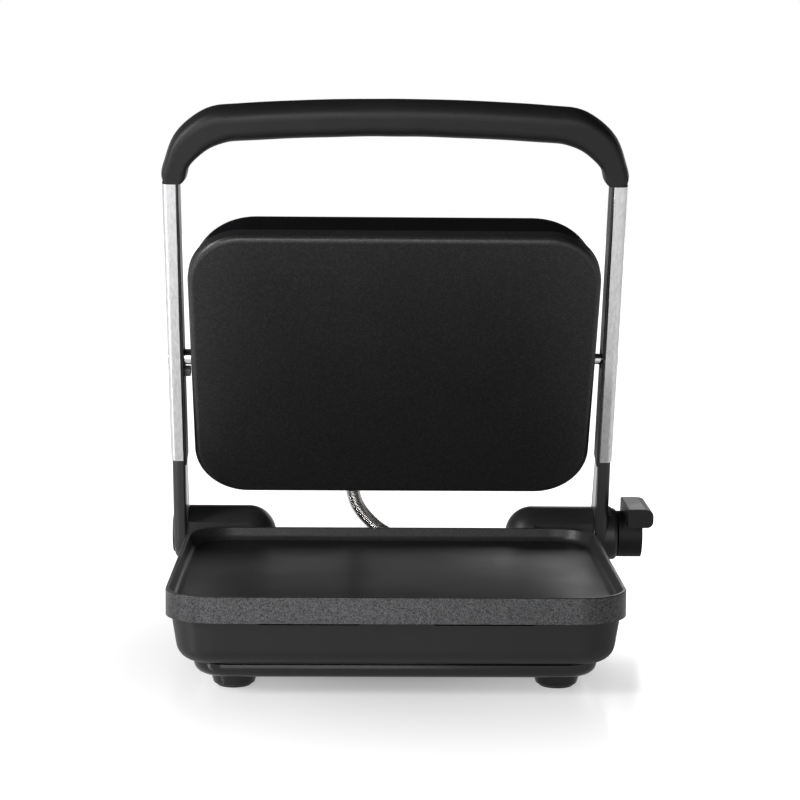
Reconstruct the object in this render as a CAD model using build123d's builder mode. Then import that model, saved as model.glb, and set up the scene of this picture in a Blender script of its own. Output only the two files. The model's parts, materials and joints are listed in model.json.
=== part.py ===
from build123d import *
import os
from math import cos, pi, radians, sin, sqrt, tan

os.makedirs("parts", exist_ok=True)

# A panini press that stands open on a worktop. Millimetres, +X to the right, +Y to the back, +Z up.
# The origin is on the worktop, under the middle of the lower plate.

# Main sizes: the upper plate, the tray round it, and the height of the tray's rim
plate_width = 335
plate_depth = 257.5
tray_margin = 5
tray_width = plate_width + 2 * tray_margin
tray_depth = 283.5
rim_top = 77.3

# Lower plate, a shallow tray
tray_corner = 37
rim_height = 19.8
rim_wall = 3
rim_edge_round = 0.8
recess_depth = 10.5
recess_slope = 3
recess_round = 5.5
tray_floor = 5

# Base shell, a bowl under the lower plate with a deck behind it for the hinge
shell_inset = 3.6
shell_lean = 6.1
shell_round = 14.5
shell_wall = 2.5
slot_length = 79
slot_bevel = 3
slot_pitch = 129
slot_height = 2
service_length = 180
service_width = 110
service_corner = 20
deck_height = 22
deck_behind_hinge = 37
deck_setback = 3.8
deck_corner = 14
deck_edge_round = 6
deck_front = tray_depth / 2 - 47.5
deck_front_half = tray_width / 2 - 16.5
deck_shoulder = tray_depth / 2 + 12.5

# Bottom cover
cover_inset = 20
cover_corner = 28
cover_bottom = 10.9
cover_height = 10.7
cover_round = 8.5
cover_floor = 2.5
shadow_gap = 1.2
cover_step = 5
cover_ring = 3
cover_screw_pitch_x = 210
cover_screw_pitch_y = 130
cover_post_radius = 5

# Feet
foot_pitch_x = tray_width - 101
foot_pitch_y = tray_depth - 99
foot_radius = 13
foot_plug_radius = 5
foot_plug_length = 4
bezel_radius = 18.1
bezel_taper = 16
bezel_lift = 1.6
bezel_round = 2

# Screws that hold the plates, and the posts and bosses that they pass through
boss_pitch_x = plate_width - 95
boss_pitch_y = plate_depth - 84
boss_radius = 5
shield_thickness = 1
shield_corner = 15
shield_width = tray_width - 55
shield_depth = tray_depth - 60
lower_shield_gap = 11.5
screw_radius = 1.9
screw_head_radius = 3.6
screw_head_height = 2.4
screw_bevel = 0.8
screw_bite = 7
screw_fit = 0.15

# Heating elements and thermostats under each plate
heater_radius = 3.25
heater_half_width = boss_pitch_x / 2 - 25
heater_half_depth = boss_pitch_y / 2 - 20
heater_bend = 16
terminal_half_pitch = 18
terminal_reach = 30
thermostat_radius = 8
thermostat_height = 8
seat_gap = 0.05
terminal_block_length = 44
terminal_block_width = 16
terminal_block_height = 12
terminal_block_x = 54.5 - tray_width / 2
terminal_block_y = 40
terminal_pitch = 11
terminal_well_radius = 3
terminal_well_depth = 7

# Hinge
hinge_setback = 25.9
hinge_drop = 9.5
barrel_radius = 23.5
barrel_length = 74.8
barrel_notch_start = 24
barrel_notch_depth = 5.5
barrel_notch_lift = 2.8
barrel_cavity_half = 16
barrel_cavity_end = 24
barrel_cavity_wall = 21.6
barrel_cavity_roof = 6
barrel_screw_bite = 12
shaft_radius = 6
shaft_bury = 16
running_fit = 0.05
washer_radius = 14
washer_room = 0.9
moving_gap = 0.3
face_fit = 0.1

# Arms
arm_lean = 18.5
arm_gap = 7.5
bar_thickness = 3.5
bar_width = 20
bar_eye_radius = 17
bar_overlap = 6
bush_wall = 2.5
liner_skin = 1
liner_width = 25
liner_bottom = 71.5
liner_window = 8.3
liner_round = 0.8
trim_thickness = 8.4
trim_lip = 0.6
trim_width = 27
trim_wall = 2
trim_side_wall = 3
trim_bottom = 76
trim_outer_round = 4.4
trim_inner_round = 1
knuckle_radius = 23
knuckle_neck = 12
knuckle_round = 6
knuckle_inner_round = 1.8
knuckle_lip = 0.2
knuckle_step = 0.8
knuckle_cap = 1.6
left_boss_radius = 17
left_boss_height = 1.6
left_boss_round = 1.2
right_boss_radius = 22.5
right_boss_height = 9.4
right_boss_round = 4
boss_flare = 4.5
flare_half_depth = 7.4

# Handle
grip_foot = 324.5
grip_depth = 27
grip_foot_round = 3
grip_top_round = 10.5
grip_foot_bulge = 2
grip_top_bulge = 3
grip_step = 0.4
grip_leg = 14.6
grip_outer_radius = 58
grip_outer_top = 391.8
grip_inner_radius = 47
grip_inner_top = 362.9
grip_arch = 4.45
grip_turn_x = 126
grip_corner_steps = 6
grip_shares = (0.9, 0.76, 0.56, 0.3)
core_thickness = 4
core_width = 12
core_radius = 42
core_lift = 4
core_top = 378.5

# Upper plate and its pivots
plate_lean = 28.4
pivot_reach = 167
pivot_behind_face = 19
plate_corner = 44.5
plate_thickness = 12
plate_skin = 6
plate_rim = 6
plate_round = 5
housing_inset = 1.5
housing_corner = 54
housing_depth = 31
housing_round = 11
housing_wall = 2.5
upper_shield_gap = 9
upper_shield_width = plate_width - 65
upper_shield_depth = plate_depth - 64
pin_radius = 3.5
pin_head_radius = 6
pin_head_height = 0.8
left_collar_radius = 6.5
right_collar_radius = 4.6
collar_gap = 0.5
bracket_inset = 12.5
bracket_thickness = 3
bracket_foot = 18
bracket_width = 30
bracket_back = 12
pivot_bush_wall = 3
pivot_bush_tail = 3
stop_below_pivot = 13
stop_height = 7
stop_width = 9
stop_reach = 5
stop_round = 1.5

# Height lever on the right end of the hinge
hub_radius = 20
hub_inner_gap = 0.6
hub_length = 17
hub_round = 3
lever_droop = 0.9
paddle_inset = 4.7
paddle_width = 21.5
paddle_front = 44
paddle_back = 16
paddle_bottom = 13.6
paddle_top = 29.2
paddle_seam = 15.6
cap_round = 5.6
neck_front = 12
lever_plate_thickness = 0.5
lever_plate_margin = 1
lever_screw_radius = 2
lever_screw_head = 8
lever_screw_head_height = 2.5
lever_screw_bite = 9
lever_recess = 4
recess_fit = 0.4

# Conduit from the base to the upper housing, and the glands at its ends
conduit_radius = 6
conduit_groove = 0.4
conduit_bore = 4.4
rib_pitch = 1.6
rib_profile = (
    (0, conduit_radius),
    (0.5, conduit_radius),
    (0.65, conduit_radius - conduit_groove),
    (0.85, conduit_radius - conduit_groove),
)
bend_share = 0.45
conduit_lead = 19.3
conduit_fit = 0.1
gland_wall = 3.8
gland_inset = 12.5
gland_height = 10
gland_clear = 3
gland_length = 22
conduit_bury = 14
gland_round = 1.5
upper_gland_x = -34
upper_gland_depth = 4
upper_gland_wall = 1.5
upper_gland_flange = 9
upper_gland_flange_height = 3
upper_gland_tail = 5
inlet_bore = 3.75
inlet_body_radius = 6.5
inlet_flange_radius = 10
inlet_flange_height = 3
inlet_length = 14
inlet_inset = 60

# Heights and places that follow from these sizes
rim_bottom = rim_top - rim_height
floor_top = rim_top - recess_depth
floor_bottom = floor_top - tray_floor
shield_top = floor_bottom - lower_shield_gap
shield_bottom = shield_top - shield_thickness
cover_top = cover_bottom + cover_height
shell_bottom = cover_top + shadow_gap
shell_floor = shell_bottom + shell_wall
cover_inside = cover_bottom + cover_floor
plate_half_width = plate_width / 2
bar_inner_x = plate_half_width + arm_gap
bar_outer_x = bar_inner_x + bar_thickness
skin_x = bar_outer_x + face_fit
trim_outer_x = skin_x + trim_thickness
trim_inner_x = bar_inner_x + trim_lip
grip_outer_half = trim_outer_x - grip_step
grip_inner_half = grip_outer_half - grip_leg
barrel_outer_x = bar_inner_x - washer_room
barrel_inner_x = barrel_outer_x - barrel_length
barrel_dome_x = barrel_inner_x + barrel_radius
hinge_y = tray_depth / 2 + hinge_setback
hinge_z = rim_top - hinge_drop
deck_top = shell_bottom + deck_height
deck_back = hinge_y + deck_behind_hinge
deck_half_width = barrel_outer_x - deck_setback
gland_x = barrel_inner_x - gland_clear - gland_length
gland_y = deck_back - gland_inset
gland_z = deck_top + gland_height
inlet_x = inlet_inset - deck_half_width
inlet_z = (shell_bottom + deck_top) / 2
bracket_x = plate_half_width - bracket_inset
bar_top = grip_foot + bar_overlap
core_foot = grip_foot + core_lift
knuckle_inner_x = bar_inner_x + knuckle_lip
knuckle_outer_x = trim_outer_x - knuckle_step
hub_inner_x = knuckle_outer_x + right_boss_height + hub_inner_gap
hub_outer_x = hub_inner_x + hub_length
bush_radius = shaft_radius + running_fit + bush_wall
plate_back = pivot_behind_face - plate_thickness
pocket_floor = pivot_behind_face - plate_skin
housing_half_width = plate_half_width - housing_inset
housing_half_depth = plate_depth / 2 - housing_inset
housing_back = plate_back - housing_depth
upper_shield_top = pocket_floor - upper_shield_gap
upper_shield_bottom = upper_shield_top - shield_thickness
pivot_y = hinge_y - pivot_reach * sin(radians(arm_lean))
pivot_z = hinge_z + pivot_reach * cos(radians(arm_lean))
same_place = 1e-4

# Working planes. An arm is drawn from the side, with its length along local X and its front along local Y.
# The handle is drawn from the front, and the upper plate on a plane through its pivots, parallel to its face.
arm_side = Plane(
    origin=(0, hinge_y, hinge_z),
    x_dir=(0, -sin(radians(arm_lean)), cos(radians(arm_lean))),
    z_dir=(1, 0, 0),
)
handle_front = Plane(
    origin=(0, hinge_y, hinge_z),
    x_dir=(1, 0, 0),
    z_dir=(0, -cos(radians(arm_lean)), -sin(radians(arm_lean))),
)
platen = Plane(
    origin=(0, pivot_y, pivot_z),
    x_dir=(1, 0, 0),
    z_dir=(0, -cos(radians(plate_lean)), -sin(radians(plate_lean))),
)
pivot_side = Plane(origin=(0, pivot_y, pivot_z), x_dir=(0, 1, 0), z_dir=(1, 0, 0))
hinge_side = Plane(origin=(0, hinge_y, hinge_z), x_dir=(0, 1, 0), z_dir=(1, 0, 0))
lever_side = Plane(
    origin=(0, hinge_y, hinge_z),
    x_dir=(0, -cos(radians(lever_droop)), -sin(radians(lever_droop))),
    z_dir=(-1, 0, 0),
)


def write(piece, name):
    piece.part.label = name
    export_step(piece.part, f"parts/{name}.step")


def write_pair(piece, name):
    write(piece, f"{name}_right")
    with BuildPart() as left:
        mirror(piece.part, about=Plane.YZ)
    write(left, f"{name}_left")


def edges_at(piece, height):
    return piece.edges().filter_by_position(Axis.Z, height - same_place, height + same_place)


def rod(plane, radius, length):
    """A round bar that stands on a plane."""
    with BuildPart() as bar:
        with BuildSketch(plane):
            Circle(radius)
        extrude(amount=length)
    return bar.part


def tube(plane, radius, bore, length):
    """A round bar with a hole along it."""
    with BuildPart() as sleeve:
        with BuildSketch(plane):
            Circle(radius)
            Circle(bore, mode=Mode.SUBTRACT)
        extrude(amount=length)
    return sleeve.part


def bowl(inset, top, bottom, edge_round):
    """The form under the lower plate, drawn in by inset at its top and by more at its bottom."""
    foot_inset = inset + shell_lean
    with BuildPart() as form:
        with BuildSketch(Plane.XY.offset(bottom)):
            RectangleRounded(
                tray_width - 2 * foot_inset, tray_depth - 2 * foot_inset, tray_corner - foot_inset
            )
        with BuildSketch(Plane.XY.offset(top)):
            RectangleRounded(tray_width - 2 * inset, tray_depth - 2 * inset, tray_corner - inset)
        loft(ruled=True)
        fillet(edges_at(form, bottom), edge_round)
    return form.part


def deck(inset):
    """The block behind the bowl that carries the hinge, drawn in by inset on every side but its front."""
    with BuildPart() as block:
        with BuildSketch(Plane.XY.offset(shell_bottom + inset)):
            Polygon(
                (-deck_front_half + inset, deck_front),
                (deck_front_half - inset, deck_front),
                (deck_half_width - inset, deck_shoulder),
                (deck_half_width - inset, deck_back - inset),
                (inset - deck_half_width, deck_back - inset),
                (inset - deck_half_width, deck_shoulder),
                align=None,
            )
        extrude(amount=deck_top - shell_bottom - 2 * inset)
        upright = block.edges().filter_by(Axis.Z).group_by(Axis.Y)[-1]
        fillet(upright, deck_corner - inset)
        fillet(edges_at(block, shell_bottom + inset).group_by(Axis.Y)[-1], deck_edge_round - inset)
    return block.part


def corners(pitch_x, pitch_y):
    return [(x * pitch_x / 2, y * pitch_y / 2) for x in (-1, 1) for y in (-1, 1)]


def screws(plane, places, length):
    """Pan-head screws that point along the plane's normal, with their heads' undersides on it."""
    with BuildPart() as group:
        with BuildSketch(plane):
            with Locations(*places):
                Circle(screw_head_radius)
        extrude(amount=-screw_head_height)
        with BuildSketch(plane):
            with Locations(*places):
                Circle(screw_radius)
        extrude(amount=length)
        fillet(group.faces().filter_by(GeomType.PLANE).group_by(SortBy.AREA)[-1].edges(), screw_bevel)
    return group


def heater(plane):
    """A bent tubular element with its middle on a plane and both ends at the back."""
    with BuildPart() as element:
        with BuildLine(plane) as route:
            FilletPolyline(
                (-terminal_half_pitch, heater_half_depth + terminal_reach),
                (-terminal_half_pitch, heater_half_depth),
                (-heater_half_width, heater_half_depth),
                (-heater_half_width, -heater_half_depth),
                (heater_half_width, -heater_half_depth),
                (heater_half_width, heater_half_depth),
                (terminal_half_pitch, heater_half_depth),
                (terminal_half_pitch, heater_half_depth + terminal_reach),
                radius=heater_bend,
            )
        with BuildSketch(Plane(origin=route.line @ 0, z_dir=route.line % 0)):
            Circle(heater_radius)
        sweep(path=route.line)
    return element


def heat_shield(plane, width, depth):
    """A thin sheet under a plate's bosses, with holes for the screws."""
    with BuildPart() as sheet:
        with BuildSketch(plane):
            RectangleRounded(width, depth, shield_corner)
            with Locations(*plate_screw_places):
                Circle(screw_radius + screw_fit, mode=Mode.SUBTRACT)
        extrude(amount=shield_thickness)
    return sheet


def handle_outline(half, radius, top, foot):
    """One edge of the handle from the front: two legs, two corners and a low arch, as a closed region."""
    corner_x = half - radius
    arch_radius = corner_x / sin(radians(grip_arch)) + radius
    arch_centre = top - arch_radius
    corner_y = arch_centre + (arch_radius - radius) * cos(radians(grip_arch))
    with BuildSketch() as region:
        with BuildLine():
            CenterArc((0, arch_centre), arch_radius, 90 - grip_arch, 2 * grip_arch)
            CenterArc((-corner_x, corner_y), radius, 90 + grip_arch, 90 - grip_arch)
            Polyline((-half, corner_y), (-half, foot), (half, foot), (half, corner_y))
            CenterArc((corner_x, corner_y), radius, 0, 90 - grip_arch)
        make_face()
    return region.sketch


plate_screw_places = corners(boss_pitch_x, boss_pitch_y)
cover_screw_places = corners(cover_screw_pitch_x, cover_screw_pitch_y)
barrel_screw_places = [
    (side * x, hinge_y)
    for side in (-1, 1)
    for x in (barrel_inner_x + barrel_cavity_end / 2, barrel_outer_x - barrel_cavity_wall / 2)
]

# Lower plate
with BuildPart() as lower_plate:
    with BuildSketch(Plane.XY.offset(rim_bottom)):
        RectangleRounded(tray_width, tray_depth, tray_corner)
    extrude(amount=rim_height)
    with BuildSketch(Plane.XY.offset(floor_top)):
        floor_edge = rim_wall + recess_slope
        RectangleRounded(
            tray_width - 2 * floor_edge, tray_depth - 2 * floor_edge, tray_corner - floor_edge
        )
    with BuildSketch(Plane.XY.offset(rim_top)):
        RectangleRounded(tray_width - 2 * rim_wall, tray_depth - 2 * rim_wall, tray_corner - rim_wall)
    loft(ruled=True, mode=Mode.SUBTRACT)
    fillet(edges_at(lower_plate, floor_top), recess_round)
    fillet(edges_at(lower_plate, rim_top), rim_edge_round)
    with BuildSketch(Plane.XY.offset(rim_bottom)):
        RectangleRounded(tray_width - 2 * rim_wall, tray_depth - 2 * rim_wall, tray_corner - rim_wall)
    extrude(amount=floor_bottom - rim_bottom, mode=Mode.SUBTRACT)
    with BuildSketch(Plane.XY.offset(shield_top)):
        with Locations(*plate_screw_places):
            Circle(boss_radius)
    extrude(amount=lower_shield_gap)
    with BuildSketch(Plane.XY.offset(shield_top)):
        with Locations(*plate_screw_places):
            Circle(screw_radius + screw_fit)
    extrude(amount=screw_bite + screw_fit, mode=Mode.SUBTRACT)
write(lower_plate, "lower_plate")

lower_heating_element = heater(Plane.XY.offset(floor_bottom - heater_radius - seat_gap))
write(lower_heating_element, "lower_heating_element")

lower_heat_shield = heat_shield(Plane.XY.offset(shield_bottom), shield_width, shield_depth)
write(lower_heat_shield, "lower_heat_shield")

with BuildPart() as lower_thermostat:
    thermostat_bottom = floor_bottom - thermostat_height - seat_gap
    add(rod(Plane.XY.offset(thermostat_bottom), thermostat_radius, thermostat_height))
write(lower_thermostat, "lower_thermostat")

# Base shell
plate_screw_seat = shell_floor + screw_head_height
with BuildPart() as base_shell:
    add(bowl(shell_inset, floor_bottom, shell_bottom, shell_round))
    add(deck(0))
    add(
        bowl(shell_inset + shell_wall, floor_bottom, shell_floor, shell_round - shell_wall),
        mode=Mode.SUBTRACT,
    )
    add(deck(shell_wall), mode=Mode.SUBTRACT)
    with BuildSketch(Plane.XY.offset(shell_bottom)):
        RectangleRounded(service_length, service_width, service_corner)
    extrude(amount=shell_wall, mode=Mode.SUBTRACT)
    with BuildSketch(Plane.XY.offset(shell_bottom)):
        with Locations(*plate_screw_places):
            Circle(boss_radius)
    extrude(amount=shield_bottom - shell_bottom)
    with BuildSketch(Plane.XY.offset(shell_bottom)):
        with Locations(*plate_screw_places):
            Circle(screw_radius + screw_fit)
    extrude(amount=shield_bottom - shell_bottom, mode=Mode.SUBTRACT)
    with BuildSketch(Plane.XY.offset(shell_bottom)):
        with Locations(*plate_screw_places):
            Circle(screw_head_radius + screw_fit)
    extrude(amount=plate_screw_seat - shell_bottom, mode=Mode.SUBTRACT)
    with BuildSketch(Plane.XY.offset(shell_bottom)):
        with Locations(*cover_screw_places):
            Circle(screw_radius + screw_fit)
    extrude(amount=shell_wall, mode=Mode.SUBTRACT)
    with BuildSketch(Plane.XZ.offset(tray_depth / 2)):
        with Locations((-slot_pitch / 2, rim_bottom), (slot_pitch / 2, rim_bottom)):
            Polygon(
                (-slot_length / 2, floor_bottom - rim_bottom),
                (-slot_length / 2, 0),
                (slot_bevel - slot_length / 2, -slot_height),
                (slot_length / 2 - slot_bevel, -slot_height),
                (slot_length / 2, 0),
                (slot_length / 2, floor_bottom - rim_bottom),
                align=None,
            )
    extrude(amount=-2 * (shell_inset + shell_wall), mode=Mode.SUBTRACT)
    with BuildSketch(Plane.XY.offset(deck_top - shell_wall)):
        with Locations(*barrel_screw_places):
            Circle(screw_radius + screw_fit)
    extrude(amount=shell_wall, mode=Mode.SUBTRACT)
    with BuildSketch(Plane.XZ.offset(-deck_back)):
        with Locations((inlet_x, inlet_z)):
            Circle(inlet_body_radius + seat_gap)
    extrude(amount=2 * shell_wall, mode=Mode.SUBTRACT)
write(base_shell, "base_shell")

lower_plate_screws = screws(
    Plane.XY.offset(plate_screw_seat), plate_screw_places, shield_top + screw_bite - plate_screw_seat
)
write(lower_plate_screws, "lower_plate_screws")

with BuildPart() as terminal_block:
    with BuildSketch(Plane.XY.offset(shell_floor)):
        with Locations((terminal_block_x, terminal_block_y)):
            Rectangle(terminal_block_width, terminal_block_length)
    extrude(amount=terminal_block_height)
    with BuildSketch(Plane.XY.offset(shell_floor + terminal_block_height)):
        with Locations((terminal_block_x, terminal_block_y)):
            with GridLocations(0, terminal_pitch, 1, 3):
                Circle(terminal_well_radius)
    extrude(amount=-terminal_well_depth, mode=Mode.SUBTRACT)
write(terminal_block, "terminal_block")

# Bottom cover, which stands under the shell with a shadow gap around its rim
cover_width = tray_width - 2 * cover_inset
cover_depth = tray_depth - 2 * cover_inset
cover_screw_seat = cover_bottom + screw_head_height
with BuildPart() as bottom_cover:
    with BuildSketch(Plane.XY.offset(cover_bottom)):
        RectangleRounded(cover_width, cover_depth, cover_corner)
    extrude(amount=cover_top - cover_bottom)
    fillet(edges_at(bottom_cover, cover_bottom), cover_round)
    with BuildSketch(Plane.XY.offset(cover_top)):
        RectangleRounded(
            cover_width - 2 * cover_step, cover_depth - 2 * cover_step, cover_corner - cover_step
        )
    extrude(amount=shadow_gap)
    with BuildSketch(Plane.XY.offset(cover_inside)):
        hollow = cover_step + cover_ring
        RectangleRounded(cover_width - 2 * hollow, cover_depth - 2 * hollow, cover_corner - hollow)
    extrude(amount=shell_bottom - cover_inside, mode=Mode.SUBTRACT)
    with BuildSketch(Plane.XY.offset(cover_inside)):
        with Locations(*cover_screw_places):
            Circle(cover_post_radius)
    extrude(amount=shell_bottom - cover_inside)
    with BuildSketch(Plane.XY.offset(cover_bottom)):
        with Locations(*cover_screw_places):
            Circle(screw_radius + screw_fit)
    extrude(amount=shell_bottom - cover_bottom, mode=Mode.SUBTRACT)
    with BuildSketch(Plane.XY.offset(cover_bottom)):
        with Locations(*cover_screw_places):
            Circle(screw_head_radius + screw_fit)
    extrude(amount=screw_head_height, mode=Mode.SUBTRACT)
    with BuildSketch(Plane.XY.offset(cover_bottom)):
        with Locations(*corners(foot_pitch_x, foot_pitch_y)):
            Circle(foot_plug_radius + seat_gap)
    extrude(amount=cover_floor, mode=Mode.SUBTRACT)
write(bottom_cover, "bottom_cover")

cover_screws = screws(
    Plane.XY.offset(cover_screw_seat), cover_screw_places, shell_floor - cover_screw_seat
)
write(cover_screws, "cover_screws")

# Feet
foot_places = {
    "foot_front_left": (-foot_pitch_x / 2, -foot_pitch_y / 2),
    "foot_front_right": (foot_pitch_x / 2, -foot_pitch_y / 2),
    "foot_rear_left": (-foot_pitch_x / 2, foot_pitch_y / 2),
    "foot_rear_right": (foot_pitch_x / 2, foot_pitch_y / 2),
}
for foot_name, (foot_x, foot_y) in foot_places.items():
    with BuildPart() as foot:
        add(rod(Plane((foot_x, foot_y, 0)), foot_radius, cover_bottom))
        add(rod(Plane((foot_x, foot_y, cover_bottom)), foot_plug_radius, foot_plug_length))
        fillet(edges_at(foot, 0), rim_edge_round)
    write(foot, foot_name)

with BuildPart() as foot_bezels:
    with BuildSketch(Plane.XY.offset(cover_bottom)):
        with Locations(*corners(foot_pitch_x, foot_pitch_y)):
            Circle(bezel_radius)
    extrude(amount=bezel_lift - cover_bottom, taper=bezel_taper)
    fillet(edges_at(foot_bezels, bezel_lift), bezel_round)
    with BuildSketch(Plane.XY.offset(bezel_lift)):
        with Locations(*corners(foot_pitch_x, foot_pitch_y)):
            Circle(foot_radius + seat_gap)
    extrude(amount=cover_bottom - bezel_lift, mode=Mode.SUBTRACT)
write(foot_bezels, "foot_bezels")

# Hinge: two barrels on the deck, a shaft fixed in each, and the washers that hold the lid by friction
shaft_inner_x = barrel_inner_x + barrel_cavity_end - shaft_bury
left_bush_end = knuckle_outer_x + left_boss_height - knuckle_cap
right_bush_end = knuckle_outer_x + right_boss_height
left_shaft_end = left_bush_end - moving_gap
right_shaft_end = hub_outer_x - lever_recess + moving_gap
with BuildPart() as hinge_barrel:
    with BuildSketch(hinge_side.offset(barrel_dome_x)):
        Circle(barrel_radius)
        with Locations((0, (deck_top - hinge_z) / 2)):
            Rectangle(2 * barrel_radius, hinge_z - deck_top)
    extrude(amount=barrel_outer_x - barrel_dome_x)
    with Locations((barrel_dome_x, hinge_y, hinge_z)):
        Sphere(barrel_radius)
    with Locations((barrel_dome_x, hinge_y, (hinge_z + deck_top) / 2)):
        Cylinder(barrel_radius, hinge_z - deck_top)
    split(bisect_by=Plane.XY.offset(deck_top), keep=Keep.TOP)
    with BuildSketch(Plane.XY.offset(deck_top)):
        notch_start = barrel_inner_x + barrel_notch_start
        with Locations(((notch_start + barrel_outer_x) / 2, hinge_y - barrel_radius)):
            Rectangle(barrel_outer_x - notch_start, 2 * barrel_notch_depth)
    extrude(amount=rim_top + barrel_notch_lift - deck_top, mode=Mode.SUBTRACT)
    with BuildSketch(Plane.XY.offset(deck_top)):
        cavity_start = barrel_inner_x + barrel_cavity_end
        cavity_end = barrel_outer_x - barrel_cavity_wall
        with Locations(((cavity_start + cavity_end) / 2, hinge_y)):
            Rectangle(cavity_end - cavity_start, 2 * barrel_cavity_half)
    extrude(amount=hinge_z + shaft_radius + barrel_cavity_roof - deck_top, mode=Mode.SUBTRACT)
    add(
        rod(hinge_side.offset(shaft_inner_x), shaft_radius + seat_gap, barrel_outer_x - shaft_inner_x),
        mode=Mode.SUBTRACT,
    )
    with BuildSketch(Plane.XY.offset(deck_top)):
        with Locations(*barrel_screw_places):
            Circle(screw_radius + screw_fit)
    extrude(amount=barrel_screw_bite + screw_fit, mode=Mode.SUBTRACT)
write_pair(hinge_barrel, "hinge_barrel")

barrel_screws = screws(
    Plane.XY.offset(deck_top - shell_wall), barrel_screw_places, shell_wall + barrel_screw_bite
)
write(barrel_screws, "barrel_screws")

with BuildPart() as hinge_shaft_left:
    add(rod(hinge_side.offset(-left_shaft_end), shaft_radius, left_shaft_end - shaft_inner_x))
write(hinge_shaft_left, "hinge_shaft_left")

with BuildPart() as hinge_shaft_right:
    add(rod(hinge_side.offset(shaft_inner_x), shaft_radius, right_shaft_end - shaft_inner_x))
    add(
        rod(
            hinge_side.offset(right_shaft_end - lever_screw_bite - screw_fit),
            lever_screw_radius + screw_fit,
            lever_screw_bite + screw_fit,
        ),
        mode=Mode.SUBTRACT,
    )
write(hinge_shaft_right, "hinge_shaft_right")

with BuildPart() as friction_washer:
    add(
        tube(
            hinge_side.offset(barrel_outer_x),
            washer_radius,
            shaft_radius + seat_gap,
            bar_inner_x - moving_gap - barrel_outer_x,
        )
    )
write_pair(friction_washer, "friction_washer")

# Arms: a steel bar in each, a chrome trim outside it, a liner inside it and a knuckle round the hinge
arm_axis = Axis(arm_side.origin, arm_side.x_dir)
trim_length = grip_foot - trim_bottom
trim_middle = (grip_foot + trim_bottom) / 2
pin_hole = rod(pivot_side.offset(bar_inner_x / 2), pin_radius + seat_gap, trim_outer_x)

with BuildPart() as arm_bar:
    with BuildSketch(arm_side.offset(bar_inner_x)):
        Circle(bar_eye_radius)
        with Locations((bar_top / 2, 0)):
            Rectangle(bar_top, bar_width)
        Circle(bush_radius + seat_gap, mode=Mode.SUBTRACT)
    extrude(amount=bar_thickness)
    add(pin_hole, mode=Mode.SUBTRACT)
write_pair(arm_bar, "arm_bar")

with BuildPart() as arm_liner:
    with BuildSketch(arm_side.offset(bar_inner_x - liner_skin)):
        with Locations(((grip_foot + liner_bottom) / 2, 0)):
            Rectangle(grip_foot - liner_bottom, liner_width)
        with Locations((pivot_reach, 0)):
            Circle(liner_window, mode=Mode.SUBTRACT)
    extrude(amount=liner_skin + trim_lip - seat_gap)
    fillet(arm_liner.edges().filter_by(arm_axis).group_by(Axis.X)[0], liner_round)
    with BuildSketch(arm_side.offset(bar_inner_x - seat_gap)):
        with Locations(((grip_foot + liner_bottom) / 2, 0)):
            Rectangle(grip_foot - liner_bottom, bar_width + 2 * seat_gap)
    extrude(amount=trim_lip + seat_gap, mode=Mode.SUBTRACT)
write_pair(arm_liner, "arm_liner")

with BuildPart() as arm_trim:
    with BuildSketch(arm_side.offset(trim_inner_x)):
        with Locations((trim_middle, 0)):
            Rectangle(trim_length, trim_width)
    extrude(amount=trim_outer_x - trim_inner_x)
    fillet(arm_trim.edges().filter_by(arm_axis).group_by(Axis.X)[-1], trim_outer_round)
    fillet(arm_trim.edges().filter_by(arm_axis).group_by(Axis.X)[0], trim_inner_round)
    with BuildSketch(arm_side.offset(trim_inner_x)):
        with Locations((trim_middle, 0)):
            Rectangle(trim_length, trim_width - 2 * trim_side_wall)
    extrude(amount=trim_outer_x - trim_wall - trim_inner_x, mode=Mode.SUBTRACT)
    add(pin_hole, mode=Mode.SUBTRACT)
write_pair(arm_trim, "arm_trim")


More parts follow.
